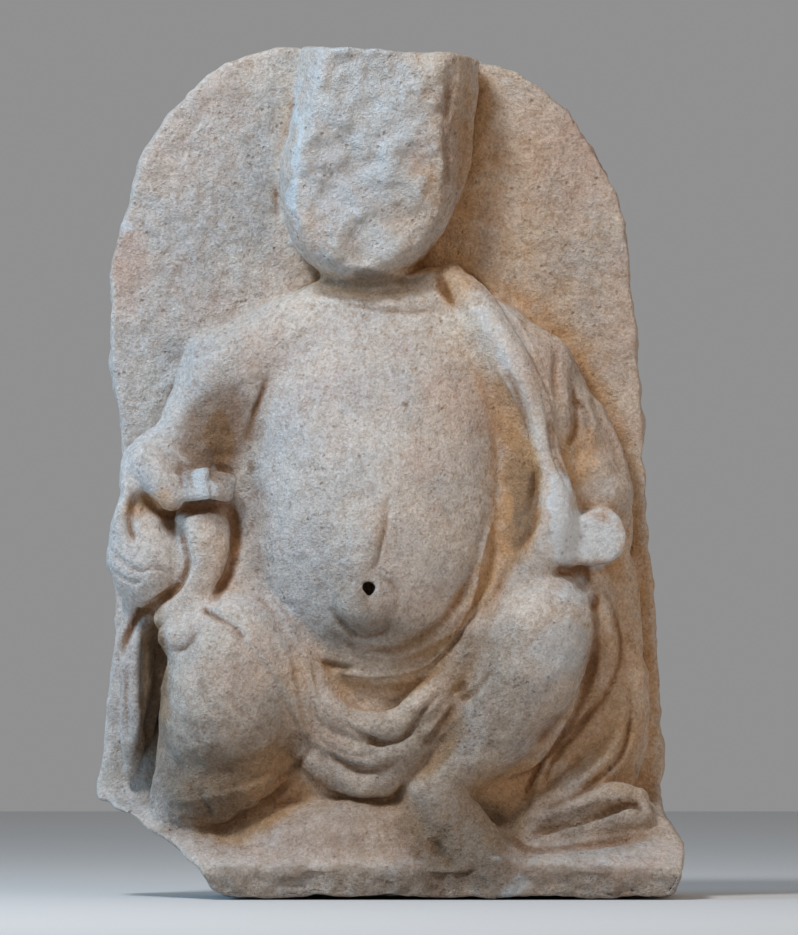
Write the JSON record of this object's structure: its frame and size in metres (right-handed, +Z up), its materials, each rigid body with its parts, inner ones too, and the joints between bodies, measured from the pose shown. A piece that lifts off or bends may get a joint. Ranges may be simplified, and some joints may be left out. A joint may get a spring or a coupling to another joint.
{
  "type": "stone relief panel",
  "caption": "Round-topped stone panel carved in high relief with a seated pot-bellied figure holding a purse, on a low foot ledge.",
  "frame": {"origin": "centre of the underside of the block's bounding box", "axes": "+Z up the panel, +Y from the figure towards the flat back, +X to the right as the panel is seen from the front"},
  "size_m": [0.354, 0.148, 0.512],
  "materials": {
    "stone": "weathered pale limestone, matt and granular, with warm brown in the recesses"
  },
  "bodies": {
    "root": {"relief_panel": "stone"}
  },
  "joints": []
}
